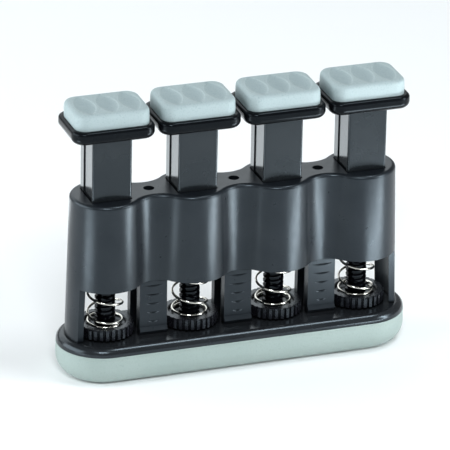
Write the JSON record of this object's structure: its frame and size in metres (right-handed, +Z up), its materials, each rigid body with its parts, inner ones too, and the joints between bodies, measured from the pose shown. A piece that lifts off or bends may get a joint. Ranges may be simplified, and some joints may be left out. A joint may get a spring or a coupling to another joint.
{
  "type": "finger exerciser",
  "caption": "Hand-held finger exerciser: sprung square plungers with padded finger keys slide in a lobed housing above threaded tension wheels, on a cushioned palm base.",
  "frame": {"origin": "centre of the underside of the base cushion", "axes": "+X along the row of finger keys, +Y from the front to the back, +Z up along the plungers"},
  "size_m": [0.0986, 0.025, 0.0776],
  "materials": {
    "cushion_rubber": "satin soft rubber, pale grey-green",
    "black_plastic": "satin black with a fine grain",
    "housing_plastic": "satin black with a fine grain",
    "steel": "plain steel",
    "post_plastic": "glossy black",
    "wheel_plastic": "satin black, knurled rim",
    "spring_steel": "bright drawn wire",
    "plunger_plastic": "smooth satin black",
    "tray_plastic": "semi-gloss black",
    "pad_rubber": "matte pale grey-green rubber, faintly speckled"
  },
  "bodies": {
    "base": {"base_cushion": "cushion_rubber", "base_plate": "black_plastic", "housing": "housing_plastic", "housing_screws": "steel", "threaded_post_1": "post_plastic", "threaded_post_2": "post_plastic", "threaded_post_3": "post_plastic", "threaded_post_4": "post_plastic"},
    "key_1": {"plunger_1": "plunger_plastic", "key_tray_1": "tray_plastic", "finger_pad_1": "pad_rubber"},
    "seat_1": {"spring_1": "spring_steel"},
    "wheel_1": {"tension_wheel_1": "wheel_plastic"},
    "key_2": {"plunger_2": "plunger_plastic", "key_tray_2": "tray_plastic", "finger_pad_2": "pad_rubber"},
    "seat_2": {"spring_2": "spring_steel"},
    "wheel_2": {"tension_wheel_2": "wheel_plastic"},
    "key_3": {"plunger_3": "plunger_plastic", "key_tray_3": "tray_plastic", "finger_pad_3": "pad_rubber"},
    "seat_3": {"spring_3": "spring_steel"},
    "wheel_3": {"tension_wheel_3": "wheel_plastic"},
    "key_4": {"plunger_4": "plunger_plastic", "key_tray_4": "tray_plastic", "finger_pad_4": "pad_rubber"},
    "seat_4": {"spring_4": "spring_steel"},
    "wheel_4": {"tension_wheel_4": "wheel_plastic"}
  },
  "joints": [
    {"name": "press_1", "type": "slide", "parent": "base", "child": "key_1", "axis": [0, 0, -1], "range_m": [0, 0.012], "stiffness_N_per_m": 550, "springref_m": -0.006, "deforming": ["spring_1"]},
    {"name": "lift_1", "type": "slide", "parent": "base", "child": "seat_1", "axis": [0, 0, 1], "range_m": [0, 0.0063], "deforming": ["spring_1"]},
    {"name": "turn_1", "type": "hinge", "parent": "seat_1", "child": "wheel_1", "pos_m": [-0.036, 0, 0.0131], "axis": [0, 0, 1], "range_deg": [0, 1621]},
    {"name": "press_2", "type": "slide", "parent": "base", "child": "key_2", "axis": [0, 0, -1], "range_m": [0, 0.012], "stiffness_N_per_m": 550, "springref_m": -0.006, "deforming": ["spring_2"]},
    {"name": "lift_2", "type": "slide", "parent": "base", "child": "seat_2", "axis": [0, 0, 1], "range_m": [0, 0.0063], "deforming": ["spring_2"]},
    {"name": "turn_2", "type": "hinge", "parent": "seat_2", "child": "wheel_2", "pos_m": [-0.012, 0, 0.0131], "axis": [0, 0, 1], "range_deg": [0, 1621]},
    {"name": "press_3", "type": "slide", "parent": "base", "child": "key_3", "axis": [0, 0, -1], "range_m": [0, 0.012], "stiffness_N_per_m": 550, "springref_m": -0.006, "deforming": ["spring_3"]},
    {"name": "lift_3", "type": "slide", "parent": "base", "child": "seat_3", "axis": [0, 0, 1], "range_m": [0, 0.0063], "deforming": ["spring_3"]},
    {"name": "turn_3", "type": "hinge", "parent": "seat_3", "child": "wheel_3", "pos_m": [0.012, 0, 0.0131], "axis": [0, 0, 1], "range_deg": [0, 1621]},
    {"name": "press_4", "type": "slide", "parent": "base", "child": "key_4", "axis": [0, 0, -1], "range_m": [0, 0.012], "stiffness_N_per_m": 550, "springref_m": -0.006, "deforming": ["spring_4"]},
    {"name": "lift_4", "type": "slide", "parent": "base", "child": "seat_4", "axis": [0, 0, 1], "range_m": [0, 0.0063], "deforming": ["spring_4"]},
    {"name": "turn_4", "type": "hinge", "parent": "seat_4", "child": "wheel_4", "pos_m": [0.036, 0, 0.0131], "axis": [0, 0, 1], "range_deg": [0, 1621]}
  ],
  "couplings": [
    {"joint": "turn_1", "follows": "lift_1", "rad_per_m": 4488},
    {"joint": "turn_2", "follows": "lift_2", "rad_per_m": 4488},
    {"joint": "turn_3", "follows": "lift_3", "rad_per_m": 4488},
    {"joint": "turn_4", "follows": "lift_4", "rad_per_m": 4488}
  ]
}
